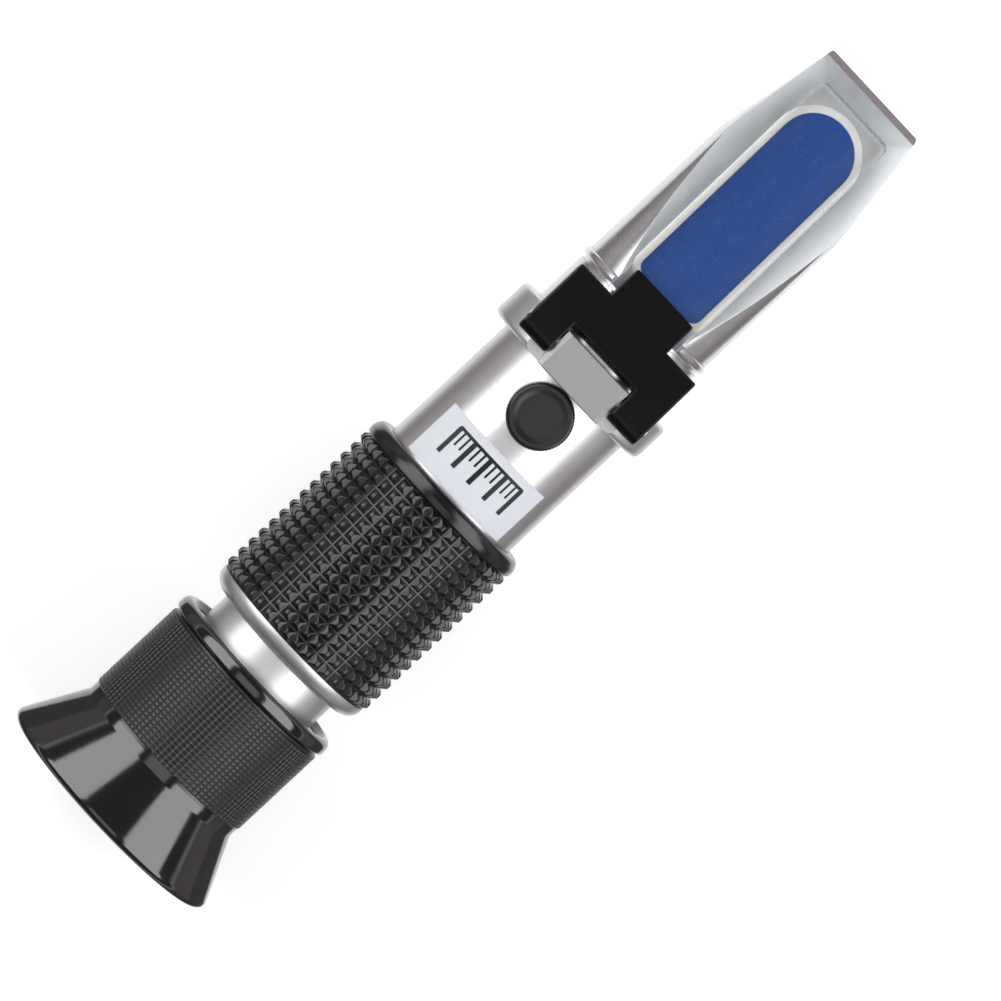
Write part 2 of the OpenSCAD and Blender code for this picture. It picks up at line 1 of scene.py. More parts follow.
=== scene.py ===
# %% [markdown]
# # A hand-held refractometer
# This file dresses a finished mechanical model. The frame below brings in every part at its true
# size and place, and the cells after it add finer shapes, finishes and light. Each cell takes one
# piece or one finish: what it is on the real instrument, how it could be made, and why this way was
# chosen.

import math

import bmesh
import bpy
from mathutils import Matrix, Vector


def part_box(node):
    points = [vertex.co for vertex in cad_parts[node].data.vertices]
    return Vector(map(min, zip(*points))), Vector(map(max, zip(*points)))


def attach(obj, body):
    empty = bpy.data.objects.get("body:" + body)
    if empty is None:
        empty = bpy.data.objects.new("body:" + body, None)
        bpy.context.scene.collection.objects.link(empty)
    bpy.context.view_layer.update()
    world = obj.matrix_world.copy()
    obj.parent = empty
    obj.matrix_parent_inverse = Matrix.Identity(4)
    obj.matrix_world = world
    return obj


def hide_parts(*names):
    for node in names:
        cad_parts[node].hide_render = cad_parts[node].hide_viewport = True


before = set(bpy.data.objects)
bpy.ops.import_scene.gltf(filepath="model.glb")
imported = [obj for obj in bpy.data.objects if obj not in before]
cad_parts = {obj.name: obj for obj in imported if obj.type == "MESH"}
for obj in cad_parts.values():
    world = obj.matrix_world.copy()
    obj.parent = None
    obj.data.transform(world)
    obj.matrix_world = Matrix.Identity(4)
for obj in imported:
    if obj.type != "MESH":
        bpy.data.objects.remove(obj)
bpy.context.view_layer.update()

# %% [markdown]
# Blender works in metres and a machinist works in millimetres. All sizes below are written in
# millimetres, and they are turned into metres once, when a mesh is finished. The stations along the
# instrument come from the frame's own boxes, so the dressing moves with a part that moves. Only the
# heights on the sloping flat are written out, where the leaf and the prism are made.

# %% Millimetres and stations
MM = 0.001


def box_mm(node):
    """Lowest and highest corner of a part, in millimetres."""
    low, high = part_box(node)
    return low / MM, high / MM


rim_r = box_mm("eyecup")[1].z
cup_end = box_mm("eyecup")[1].x
sleeve_r = box_mm("focus_sleeve")[1].y
flange_low, flange_high = box_mm("rear_flange")
grip_low, grip_high = box_mm("rubber_grip")
tube_r = box_mm("main_tube")[1].z
collar_low, collar_high = box_mm("hinge_collar")
housing_high = box_mm("prism_housing")[1]
pin_low, pin_high = box_mm("hinge_pin")
pin_x, pin_z = (pin_low.x + pin_high.x) / 2, (pin_low.z + pin_high.z) / 2
cap_low, cap_high = box_mm("screw_cap")
cap_r = cap_high.y
cap_x = cap_low.x + cap_r
tip_x = housing_high.x
print(f"length {tip_x:.1f} mm, tube radius {tube_r:.2f} mm, pin at x {pin_x:.1f} z {pin_z:.2f} mm")

# %% [markdown]
# ## Camera, table and light
# A product camera stands high above the table with a long lens, so the instrument keeps its true
# proportions. It looks almost straight down on the daylight plate and is rolled, which lays the
# instrument across the picture from corner to corner.

# %% Camera
camera_place = Vector((130.5, 64.4, 971.1))
camera_tilt = (math.radians(-4.152), math.radians(3.273), math.radians(0.132 - 43.0947))
turn = Matrix.Identity(3)
for angle, axis in zip(camera_tilt, "XYZ"):
    turn = turn @ Matrix.Rotation(angle, 3, axis)
camera_data = bpy.data.cameras.new("camera")
camera_data.lens = 235.3
camera_data.sensor_width = 36
camera_data.clip_start = 0.05
camera = bpy.data.objects.new("camera", camera_data)
camera.matrix_world = Matrix.Translation(camera_place * MM) @ turn.to_4x4()
bpy.context.scene.collection.objects.link(camera)
bpy.context.scene.camera = camera
print(f"camera {camera_place.z:.0f} mm above the axis, lens {camera_data.lens} mm")

# %% [markdown]
# The instrument lies on its eyecup rim and its hinge collar. Those two rounds differ in size, so the
# table is not parallel to the axis: its slope is worked out from the two radii. One big flat grid is
# enough for a plain table.

# %% Table
collar_r = -collar_low.z
rim_foot_x = 1.5
table_gap = 0.02
table_slope = math.atan((rim_r - collar_r) / (collar_high.x - rim_foot_x))
table_mesh = bmesh.new()
bmesh.ops.create_grid(table_mesh, x_segments=1, y_segments=1, size=4)
bmesh.ops.rotate(table_mesh, verts=table_mesh.verts, matrix=Matrix.Rotation(-table_slope, 3, "Y"))
bmesh.ops.translate(table_mesh, verts=table_mesh.verts,
                    vec=Vector((rim_foot_x, 0, -rim_r - table_gap)) * MM)
table_data = bpy.data.meshes.new("table")
table_mesh.to_mesh(table_data)
table_mesh.free()
table = bpy.data.objects.new("table", table_data)
bpy.context.scene.collection.objects.link(table)
print(f"table slope {math.degrees(table_slope):.2f} degrees")

# %% [markdown]
# Two long soft boxes hang left and right of the camera with a gap between them. Polished round metal
# shows them as two white bands with a grey band in the middle, and glossy rubber shows them as two
# clean rectangles, which is what makes the form readable. A dim panel high overhead sets how grey
# the middle band is, and the room itself is almost dark so that black parts stay black.

# %% Soft boxes and room
bpy.context.scene.view_settings.view_transform = "Standard"
box_distance = 0.52
box_angle = math.radians(49)
box_size = (1.0, 0.44)
box_centre_x = 0.37
box_watts = 3.5
for name, side in (("soft_box_left", 1), ("soft_box_right", -1)):
    light = bpy.data.lights.new(name, "AREA")
    light.shape = "RECTANGLE"
    light.size, light.size_y = box_size
    light.energy = box_watts
    lamp = bpy.data.objects.new(name, light)
    lamp.rotation_euler = (-side * box_angle, 0, 0)
    lamp.location = (box_centre_x, side * box_distance * math.sin(box_angle),
                     box_distance * math.cos(box_angle))
    bpy.context.scene.collection.objects.link(lamp)
panel_size = (0.9, 0.7)
panel_watts = 1.3
panel_place = (-0.03, 0, 1.2)
panel_data = bpy.data.lights.new("overhead_panel", "AREA")
panel_data.shape = "RECTANGLE"
panel_data.size, panel_data.size_y = panel_size
panel_data.energy = panel_watts
panel = bpy.data.objects.new("overhead_panel", panel_data)
panel.location = panel_place
bpy.context.scene.collection.objects.link(panel)
room_glow = 0.12
room = bpy.data.worlds.new("room")
room.use_nodes = True
room_light = room.node_tree.nodes["Background"]
room_light.inputs["Color"].default_value = (0.93, 0.95, 1.0, 1)
room_light.inputs["Strength"].default_value = room_glow
bpy.context.scene.world = room
print("soft boxes:", box_size, "m, overhead panel:", panel_size, "m")

# %% [markdown]
# A studio sets dark cards beside bright metal, or its edges melt into a pale table. Two strips
# of card lie along each side, a dark one close in and a warm grey one further out, and one more lies
# before the tip. Only reflections can see them, so they neither shade the table nor show in the
# picture.

# %% Cards for the reflections
card_lift = 0.3
cards = (
    ("dark_card_left", (-130, 290), (30, 66), 0.07), ("dark_card_right", (-130, 290), (-66, -30), 0.07),
    ("grey_card_left", (-130, 290), (66, 420), 0.2), ("grey_card_right", (-130, 290), (-420, -66), 0.2),
    ("front_card", (166, 420), (-30, 30), 0.24),
)
for name, along, across, shade in cards:
    card_finish = bpy.data.materials.new(name)
    card_finish.use_nodes = True
    card_paint = card_finish.node_tree.nodes["Principled BSDF"].inputs["Base Color"]
    card_paint.default_value = (shade * 1.22, shade, shade * 1.04, 1)
    card_mesh = bmesh.new()
    bmesh.ops.create_grid(card_mesh, x_segments=1, y_segments=1, size=0.5)
    bmesh.ops.scale(card_mesh, vec=(along[1] - along[0], across[1] - across[0], 1), verts=card_mesh.verts)
    bmesh.ops.translate(card_mesh, vec=(sum(along) / 2, sum(across) / 2, card_lift), verts=card_mesh.verts)
    bmesh.ops.rotate(card_mesh, verts=card_mesh.verts, matrix=Matrix.Rotation(-table_slope, 3, "Y"))
    bmesh.ops.translate(card_mesh, vec=(rim_foot_x, 0, -rim_r - table_gap), verts=card_mesh.verts)
    bmesh.ops.scale(card_mesh, vec=(MM, MM, MM), verts=card_mesh.verts)
    card_data = bpy.data.meshes.new(name)
    card_mesh.to_mesh(card_data)
    card_mesh.free()
    card_data.materials.append(card_finish)
    card = bpy.data.objects.new(name, card_data)
    bpy.context.scene.collection.objects.link(card)
    card.visible_camera = card.visible_diffuse = card.visible_shadow = card.visible_transmission = False
print("cards lie", card_lift, "mm above the table")

# %% [markdown]
# ## Shader tools
# A finish is a small formula. `Wire` wraps one socket and lets Python's own operators add Math
# nodes, and `Finish` holds one material and adds every other kind of node through one method.

# %% Wire and Finish


class Wire:
    """An output socket that + - * and / can work on."""

    def __init__(self, finish, socket):
        self.finish = finish
        self.socket = socket

    def maths(self, operation, first, second):
        return self.finish.node("ShaderNodeMath", {"operation": operation}, {0: first, 1: second})

    def __add__(self, other):
        return self.maths("ADD", self, other)

    def __sub__(self, other):
        return self.maths("SUBTRACT", self, other)

    def __rsub__(self, other):
        return self.maths("SUBTRACT", other, self)

    def __mul__(self, other):
        return self.maths("MULTIPLY", self, other)

    def __truediv__(self, other):
        return self.maths("DIVIDE", self, other)

    __radd__ = __add__
    __rmul__ = __mul__


class Finish:
    """One material: a Principled shader whose fixed sockets are set at once."""

    def __init__(self, name, sockets):
        self.material = bpy.data.materials.new(name)
        self.material.use_nodes = True
        self.tree = self.material.node_tree
        self.shader = self.tree.nodes["Principled BSDF"]
        for socket, value in sockets.items():
            self.shader.inputs[socket].default_value = value

    def node(self, kind, settings=None, inputs=None, output=0):
        """Adds a node: its settings first, then the values or links of its sockets."""
        node = self.tree.nodes.new(kind)
        for name, value in (settings or {}).items():
            if name == "stops":
                self.set_stops(node.color_ramp, value)
            else:
                setattr(node, name, value)
        for name, value in (inputs or {}).items():
            if isinstance(value, Wire):
                self.tree.links.new(value.socket, node.inputs[name])
            else:
                node.inputs[name].default_value = value
        return Wire(self, node.outputs[output])

    def set_stops(self, ramp, stops):
        while len(ramp.elements) < len(stops):
            ramp.elements.new(1.0)
        for element, (position, colour) in zip(ramp.elements, stops):
            element.position = position
            element.color = colour

    def millimetres(self, stretch=(1, 1, 1)):
        """Object coordinates in millimetres, stretched along each axis."""
        place = self.node("ShaderNodeTexCoord", output="Object")
        scale = [s / MM for s in stretch]
        return self.node("ShaderNodeMapping", {"vector_type": "POINT"}, {"Vector": place, "Scale": scale})

    def noise(self, scale, detail=2.0, stretch=(1, 1, 1), roughness=0.5):
        """Cloudy values round one half; scale is in features per millimetre."""
        place = self.millimetres(stretch)
        return self.node("ShaderNodeTexNoise", {"noise_dimensions": "3D"},
                         {"Vector": place, "Scale": scale, "Detail": detail, "Roughness": roughness})

    def ramp(self, value, low, high):
        """0 below low, 1 above high."""
        return self.node("ShaderNodeMapRange", {"clamp": True},
                         {"Value": value, "From Min": low, "From Max": high, "To Min": 0.0, "To Max": 1.0})

    def mix(self, factor, first, second):
        """Blends two colours."""
        return self.node("ShaderNodeMix", {"data_type": "RGBA"}, {0: factor, 6: first, 7: second}, output=2)

    def feed(self, socket, wire):
        self.tree.links.new(wire.socket, self.shader.inputs[socket])

    def bump(self, height, depth):
        """Raises the surface by height times depth, in millimetres."""
        normal = self.node("ShaderNodeBump", {},
                           {"Height": height, "Distance": depth * MM, "Strength": 1.0}, "Normal")
        self.feed("Normal", normal)


def grey(value, warm=0.0):
    """A grey; warm above 0 leans to pink, below 0 to blue."""
    return (value * (1 + warm), value, value * (1 - warm), 1)


print("shader tools ready")

# %% [markdown]
# ## Rubber
# The eyecup is a glossy moulded rubber. Its barrel, the grip and the cap have a softer shine. All get
# faint cloudy patches from handling, a few paler scuffs, and a very fine skin grain from a bump. A
# black thing is mostly its reflections, so the roughness does more here than the colour.

# %% Rubber finishes
scuff_strength = 0.5


def make_rubber(name, shade, shine, grain, gloss=0.5):
    rubber = Finish(name, {"Specular IOR Level": gloss, "IOR": 1.6})
    patches = rubber.noise(0.22, 3.0)
    scuff = rubber.ramp(rubber.noise(1.3, 5.0, (1, 0.35, 0.35), 0.7), 0.66, 0.8) * scuff_strength
    colour = rubber.mix(patches, grey(shade * 0.8, -0.06), grey(shade * 1.25, -0.04))
    rubber.feed("Base Color", rubber.mix(scuff, colour, grey(shade * 4)))
    rubber.feed("Roughness", shine + (patches - 0.5) * 0.1 + scuff * 0.2)
    rubber.bump(rubber.noise(14.0, 2.0), grain)
    return rubber.material


cup_rubber = make_rubber("soft_rubber", 0.0034, 0.1, 0.002, 0.95)
barrel_rubber = make_rubber("barrel_rubber", 0.009, 0.36, 0.004)
grip_rubber = make_rubber("grip_rubber", 0.0032, 0.21, 0.003)
cap_rubber = make_rubber("cap_rubber", 0.004, 0.26, 0.004)
print("rubbers:", cup_rubber.name, barrel_rubber.name, grip_rubber.name, cap_rubber.name)

# %% [markdown]
# ## Turned metal
# Tubes, rings and the collar are turned on a lathe and plated. A lathe leaves fine rings round the
# axis. A noise squeezed hard along X and left long round the tube gives those rings without a seam,
# and it is used for colour, for shine and for a very shallow bump.

# %% Metal finishes


def make_turned_metal(name, shade, shine, rings, warm=0.0, fleck=0.08):
    metal = Finish(name, {"Metallic": 1.0})
    streaks = metal.noise(1.0, 3.0, (9, 0.12, 0.12), 0.65)
    hazes = metal.noise(0.12, 3.0, (1, 0.6, 0.6))
    tint = metal.mix(hazes, grey(shade * 0.96, warm), grey(shade * 1.03, -0.02))
    metal.feed("Base Color", metal.mix(streaks * fleck * 4, tint, grey(shade * 0.72, warm)))
    metal.feed("Roughness", shine + (streaks - 0.5) * 0.03 + (hazes - 0.5) * 0.1)
    metal.bump(streaks, rings)
    return metal.material


def make_flat_metal(name, shade, shine, mottle, warm=0.0):
    """Milled or blasted metal: small mottled grain with no direction."""
    metal = Finish(name, {"Metallic": 1.0})
    grain = metal.noise(3.2, 4.0, roughness=0.7)
    clouds = metal.noise(0.45, 3.0)
    colour = metal.mix(grain, grey(shade * 0.82, warm), grey(shade * 1.12, warm))
    metal.feed("Base Color", metal.mix(clouds * 0.4, colour, grey(shade * 0.8, -0.03)))
    metal.feed("Roughness", shine + (grain - 0.5) * 0.2 + (clouds - 0.5) * 0.12)
    metal.bump(grain, mottle)
    return metal.material


def make_milled_flat():
    """The milled flat: mottled metal, with a pale speckled film under the far end of the clear plate."""
    metal = Finish("milled_housing", {})
    grain = metal.noise(3.2, 4.0, roughness=0.7)
    clouds = metal.noise(0.45, 3.0)
    place = metal.node("ShaderNodeTexCoord", output="Object")
    along = metal.node("ShaderNodeSeparateXYZ", {}, {"Vector": place}, "X") / MM
    across = metal.node("ShaderNodeSeparateXYZ", {}, {"Vector": place}, "Y") / MM
    off_axis = metal.node("ShaderNodeMath", {"operation": "ABSOLUTE"}, {0: across})
    plate_box, prism_box = box_mm("daylight_plate")[1], box_mm("main_prism")[1]
    film_from, film_fade = prism_box.x - 6, 1
    film_start = metal.ramp(along, film_from, film_from + film_fade)
    film_end = 1 - metal.ramp(along, plate_box.x - 0.6, plate_box.x)
    film_sides = 1 - metal.ramp(off_axis, plate_box.y - 0.4, plate_box.y)
    speckle = 0.5 + metal.ramp(grain, 0.4, 0.6) * 0.4
    film = film_start * film_end * film_sides * speckle
    colour = metal.mix(grain, grey(0.57, -0.03), grey(0.78, -0.03))
    colour = metal.mix(clouds * 0.4, colour, grey(0.56, -0.03))
    metal.feed("Base Color", metal.mix(film, colour, (0.52, 0.52, 0.51, 1)))
    metal.feed("Metallic", 1 - film)
    metal.feed("Roughness", 0.42 + (grain - 0.5) * 0.2 + (clouds - 0.5) * 0.12)
    metal.bump(grain, 0.008)
    return metal.material


polished_tube = make_turned_metal("polished_tube", 0.72, 0.37, 0.0001, 0.025, 0.05)
satin_silver = make_turned_metal("satin_silver", 0.78, 0.42, 0.0001, 0.0, 0.05)
housing_silver = make_turned_metal("housing_silver", 0.7, 0.28, 0.0001, 0.01, 0.04)
milled_silver = make_milled_flat()
steel = make_turned_metal("steel", 0.52, 0.3, 0.002)
brass = make_turned_metal("brass", 0.6, 0.3, 0.002, 0.3)
bimetal = make_flat_metal("bimetal", 0.5, 0.38, 0.002, 0.34)
block_silver = make_flat_metal("block_silver", 0.5, 0.42, 0.008, -0.01)
print("metals:", polished_tube.name, satin_silver.name, milled_silver.name, steel.name)

# %% [markdown]
# ## Black fittings, glass, plastic and paper
# Black anodising is metal under a dark, slightly porous skin. Lenses are clear with faint smears.
# The prism is a deep blue glass whose colour is a little uneven. The cover plate is clear acrylic
# that has been wiped many times, so it carries a light haze. The white table glows faintly, which
# keeps it even from corner to corner.

# %% Other finishes


def make_black(name, shade, shine, grain, gloss=0.5):
    black = Finish(name, {"Specular IOR Level": gloss})
    pores = black.noise(7.0, 3.0)
    patches = black.noise(0.3, 2.0)
    black.feed("Base Color", black.mix(patches, grey(shade * 0.8, -0.03), grey(shade * 1.3, -0.05)))
    black.feed("Roughness", shine + (pores - 0.5) * 0.14)
    black.bump(pores, grain)
    return black.material


def make_clear(name, tint, haze, ior):
    clear = Finish(name, {"Transmission Weight": 1.0, "IOR": ior})
    smears = clear.noise(0.35, 4.0, (1, 3, 1), 0.6)
    clear.feed("Base Color", clear.mix(smears, tint, (1, 1, 1, 1)))
    clear.feed("Roughness", clear.ramp(smears, 0.35, 0.9) * haze)
    return clear.material


def make_sheet(name, tint, see_through, haze):
    """Clear sheet seen face on: mostly see-through, with wiped haze that is a little denser in places."""
    sheet = Finish(name, {"IOR": 1.49})
    smears = sheet.noise(0.35, 4.0, (1, 3, 1), 0.6)
    sheet.feed("Base Color", sheet.mix(smears * 0.2, tint, (0.9, 0.92, 0.95, 1)))
    sheet.feed("Roughness", 0.12 + sheet.ramp(smears, 0.35, 0.9) * 0.2)
    sheet.feed("Alpha", 1 - see_through + (smears - 0.5) * haze)
    return sheet.material


def make_blue_glass():
    blue = Finish("blue_glass", {"IOR": 1.5, "Specular IOR Level": 0.2})
    grain = blue.noise(4.5, 3.0, roughness=0.65)
    clouds = blue.noise(0.16, 2.0)
    deep, light = (0.0015, 0.042, 0.21, 1), (0.006, 0.078, 0.36, 1)
    colour = blue.mix(blue.ramp(grain, 0.35, 0.72), deep, light)
    blue.feed("Base Color", blue.mix(clouds * 0.5, colour, (0.003, 0.046, 0.22, 1)))
    blue.feed("Roughness", 0.3 + (grain - 0.5) * 0.2)
    return blue.material


def make_chalky(name, first, second, shine, scale, grain):
    """Sealant, paper and ink: matt stuff in two close shades."""
    chalky = Finish(name, {"Specular IOR Level": 0.3})
    clouds = chalky.noise(scale, 4.0)
    chalky.feed("Base Color", chalky.mix(clouds, first, second))
    chalky.feed("Roughness", shine + (clouds - 0.5) * 0.15)
    chalky.bump(clouds, grain)
    return chalky.material


black_anodised = make_black("black_anodised", 0.012, 0.45, 0.003)
black_plastic = make_black("black_plastic", 0.0032, 0.3, 0.002, 0.22)
clear_glass = make_clear("clear_glass", (0.93, 0.97, 1, 1), 0.04, 1.52)
clear_plastic = make_sheet("clear_plastic", (0.1, 0.12, 0.15, 1), 0.94, 0.05)
frosted_plastic = make_sheet("frosted_plastic", (0.3, 0.33, 0.36, 1), 0.35, 0.3)
blue_glass = make_blue_glass()
sealant = make_chalky("sealant", (0.66, 0.66, 0.63, 1), (0.82, 0.82, 0.79, 1), 0.55, 0.9, 0.02)
label_paper = make_chalky("label", (0.66, 0.68, 0.73, 1), (0.72, 0.74, 0.78, 1), 0.4, 0.7, 0.004)
label_ink = make_chalky("label_ink", (0.008, 0.008, 0.009, 1), (0.02, 0.019, 0.019, 1), 0.4, 3.0, 0.004)
table_white = make_chalky("table_white", (0.80, 0.80, 0.80, 1), (0.81, 0.81, 0.81, 1), 0.8, 0.02, 0.0)
table_glow = table_white.node_tree.nodes["Principled BSDF"].inputs
table_glow["Emission Color"].default_value = (1, 1, 1, 1)
table_glow["Emission Strength"].default_value = 0.5
table_data.materials.append(table_white)
print("other finishes:", black_plastic.name, clear_plastic.name, blue_glass.name, sealant.name)

# %% [markdown]
# ## Parts that keep their shape
# Lenses, rings, screws and tubes already have their true form, so they only need their finish. The
# table below goes through the record's own slot for each part.

# %% Finishes for the carried-over parts
finish_of_slot = {
    "soft_rubber": cup_rubber, "cap_rubber": cap_rubber, "polished_tube": polished_tube,
    "satin_silver": satin_silver, "milled_housing": milled_silver, "steel": steel, "brass": brass,
    "bimetal": bimetal, "black_anodised": black_anodised, "clear_glass": clear_glass,
    "blue_glass": blue_glass, "clear_plastic": clear_plastic, "black_plastic": black_plastic,
    "sealant": sealant, "label": label_paper,
}
for name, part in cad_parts.items():
    for part_slot in part.material_slots:
        part_slot.material = finish_of_slot[part_slot.material.name.split(".")[0]]
print("dressed", len(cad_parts), "parts")

# %% [markdown]
# ## Modelling tools
# Nearly everything here is turned, so the main tool is a lathe: a closed section is drawn once and
# spun about the optical axis. Real turned parts have no razor edges, so the section's corners are
# rounded first, and every rounding then catches a thin line of light.

# %% Section, lathe and finish


def arc(centre, start, end, steps):
    """Points of an arc round centre, from start to end, both given from the centre."""
    from_way, to_way = start.normalized(), end.normalized()
    return [centre + start.length * from_way.slerp(to_way, step / steps) for step in range(steps + 1)]


def rounded(corners, steps=5):
    """A closed section: corners are (x, radius, rounding) in millimetres."""
    outline = []
    for index, (x, r, rounding) in enumerate(corners):
        here = Vector((x, r))
        if rounding == 0:
            outline.append(here)
            continue
        back = (Vector(corners[index - 1][:2]) - here).normalized()
        ahead = (Vector(corners[(index + 1) % len(corners)][:2]) - here).normalized()
        half = back.angle(ahead) / 2
        centre = here + (back + ahead).normalized() * rounding / math.sin(half)
        reach = rounding / math.tan(half)
        outline += arc(centre, here + back * reach - centre, here + ahead * reach - centre, steps)
    return outline


def lathe(corners, around=160, solid=False):
    """Spins a section about the X axis. A solid one starts and ends on the axis."""
    mesh = bmesh.new()
    points = [mesh.verts.new((x, 0, r)) for x, r in rounded(corners)]
    ends = points[1:] if solid else points[1:] + points[:1]
    edges = [mesh.edges.new(pair) for pair in zip(points, ends)]
    bmesh.ops.spin(mesh, geom=points + edges, cent=(0, 0, 0), axis=(1, 0, 0), angle=math.tau,
                   steps=around, use_merge=True)
    bmesh.ops.remove_doubles(mesh, verts=mesh.verts, dist=0.0005)
    bmesh.ops.recalc_face_normals(mesh, faces=mesh.faces)
    return mesh


def bevel_edges(mesh, edges, width, segments=2):
    bmesh.ops.bevel(mesh, geom=edges, offset=width, offset_type="OFFSET", segments=segments, profile=0.5,
                    affect="EDGES", material=-1, clamp_overlap=True)


def sharp_edges(mesh, degrees=50):
    """Edges between two faces that meet at more than this angle."""
    limit = math.radians(degrees)
    return [e for e in mesh.edges if len(e.link_faces) == 2 and e.calc_face_angle(0) > limit]


def verts_of(geom):
    return [part for part in geom if isinstance(part, bmesh.types.BMVert)]


def edges_of(geom):
    return [part for part in geom if isinstance(part, bmesh.types.BMEdge)]


def add_mesh(mesh, other):
    """Puts a copy of another mesh into this one, and frees the other."""
    carrier = bpy.data.meshes.new("carrier")
    other.to_mesh(carrier)
    other.free()
    mesh.from_mesh(carrier)
    bpy.data.meshes.remove(carrier)


def cut_away(mesh, cutter):
    """Takes one closed mesh out of another, and frees both."""
    pair = []
    for part in (mesh, cutter):
        data = bpy.data.meshes.new("cut_part")
        part.to_mesh(data)
        part.free()
        pair.append(bpy.data.objects.new("cut_part", data))
        bpy.context.scene.collection.objects.link(pair[-1])
    cut = pair[0].modifiers.new("cut", "BOOLEAN")
    cut.operation, cut.solver, cut.object = "DIFFERENCE", "EXACT", pair[1]
    result = bmesh.new()
    result.from_object(pair[0], bpy.context.evaluated_depsgraph_get())
    for part in pair:
        data = part.data
        bpy.data.objects.remove(part)
        bpy.data.meshes.remove(data)
    return result


def finish_piece(mesh, name, body, finishes, stands_for=(), crease=32):
    """Turns millimetres into metres, smooths all but the creases, and hangs the piece on its body."""
    bmesh.ops.scale(mesh, vec=(MM, MM, MM), verts=mesh.verts)
    data = bpy.data.meshes.new(name)
    mesh.to_mesh(data)
    mesh.free()
    for finish in finishes:
        data.materials.append(finish)
    data.shade_smooth()
    data.set_sharp_from_angle(angle=math.radians(crease))
    piece = bpy.data.objects.new(name, data)
    bpy.context.scene.collection.objects.link(piece)
    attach(piece, body)
    if stands_for:
        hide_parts(*stands_for)
    print(f"{name}: {len(data.polygons)} faces")
    return piece


# %% [markdown]
# ## Eyecup
# The eyecup is one rubber moulding: a flared cup for the eye, and behind it a barrel with a fine
# square knurl for the fingers. The knurl could be a bump, but it shows at the outline, so it is made
# from faces: the barrel is cut into small cells, and every cell is inset and raised a little.

# %% Eyecup
cup_floor_x, cup_floor_r = 10.0, 13.0
neck_from, neck_to = 10.9, 12.2
sleeve_stop_x = 11.5
groove_depth = 0.45
barrel_wall = 1.95
barrel_r = sleeve_r + barrel_wall
knurl_depth = 0.11
knurl_from, knurl_to = 12.7, cup_end - 3.1
knurl_rows, knurl_round = 22, 104
lip_from = cup_end - 2.6
bore_r = sleeve_r + 0.03
eye_hole_r = 9.3
cup = lathe([
    (cup_floor_x, cup_floor_r, 0.5), (0, rim_r - 2.4, 0.9), (0, rim_r + 0.61, 1.0),
    (neck_from, barrel_r - 0.15, 0.5), (neck_to, barrel_r - 0.15, 0.2),
    (knurl_from, barrel_r - knurl_depth, 0), (knurl_to, barrel_r - knurl_depth, 0),
    (knurl_to + 0.1, barrel_r - groove_depth, 0.05),
    (lip_from, barrel_r - groove_depth, 0.1), (lip_from + 0.5, barrel_r + 0.3, 0.5),
    (cup_end, barrel_r + 0.15, 1.15),
    (cup_end, sleeve_r + 0.6, 0.3), (cup_end - 0.9, bore_r, 0), (sleeve_stop_x, bore_r, 0),
    (sleeve_stop_x, eye_hole_r, 0), (cup_floor_x, eye_hole_r, 0.2),
], around=knurl_round)


def on_barrel(place):
    return knurl_from < place.x < knurl_to and place.yz.length > sleeve_r + 1


long_edges = [e for e in cup.edges if abs(e.verts[0].co.x - e.verts[1].co.x) > knurl_to - knurl_from - 0.1
              and e.verts[0].co.yz.length > sleeve_r + 1]
bmesh.ops.subdivide_edges(cup, edges=long_edges, cuts=knurl_rows - 1, use_grid_fill=True)
cells = [face for face in cup.faces if on_barrel(face.calc_center_median())]
bmesh.ops.inset_individual(cup, faces=cells, thickness=0.17, depth=knurl_depth, use_even_offset=True)
for face in cup.faces:
    face.material_index = int(knurl_from - 0.2 < face.calc_center_median().x < knurl_to + 0.3
                              and face.calc_center_median().yz.length > sleeve_r + 1)
finish_piece(cup, "eyecup_knurled", "focus_ring", [cup_rubber, barrel_rubber], ["eyecup"],
             28)

# %% [markdown]
# ## Flange
# A plated ring closes the back of the grip. Its outer face is a dome, and a narrow groove at its
# inner edge shows as a dark line round the eyepiece tube.

# %% Flange
eye_tube_r = box_mm("eyepiece_tube")[1].y
flange_r = flange_high.y
flange_step, fit_gap = 1.2, 0.02
flange = lathe([
    (flange_low.x + 0.35, eye_tube_r + fit_gap, 0), (flange_low.x + 0.35, eye_tube_r + 0.3, 0.05),
    (flange_low.x, eye_tube_r + 0.45, 0.15), (flange_low.x, flange_r, 2.3), (grip_low.x, flange_r, 0.08),
    (grip_low.x, tube_r + fit_gap, 0), (grip_low.x - flange_step, tube_r + fit_gap, 0),
    (grip_low.x - flange_step, eye_tube_r + fit_gap, 0),
])
finish_piece(flange, "flange_domed", "root", [satin_silver], ["rear_flange"])

# %% [markdown]
# ## Studded grip
# The grip is a rubber sleeve covered in small blunt pyramids, with a smooth lip at the front. One
# stud is modelled with softened edges, copied into a row, and the row is spun round with
# `use_duplicate`. The studs sink a little into the sleeve, so no gap can open under them.

# %% Grip sleeve
stud_depth = 0.65
grip_r = grip_high.y
root_r = grip_r - stud_depth
lip_len = 2.75
stud_rows, studs_round = 14, 44
sleeve = lathe([
    (grip_low.x, tube_r + fit_gap, 0), (grip_low.x, root_r, 0.15), (grip_high.x - lip_len, root_r, 0.12),
    (grip_high.x - lip_len + 0.12, grip_r - 0.1, 0.35), (grip_high.x - 1.5, grip_r, 1.0),
    (grip_high.x, grip_r - 0.7, 1.2), (grip_high.x, tube_r + fit_gap, 0.3),
], around=studs_round * 4)

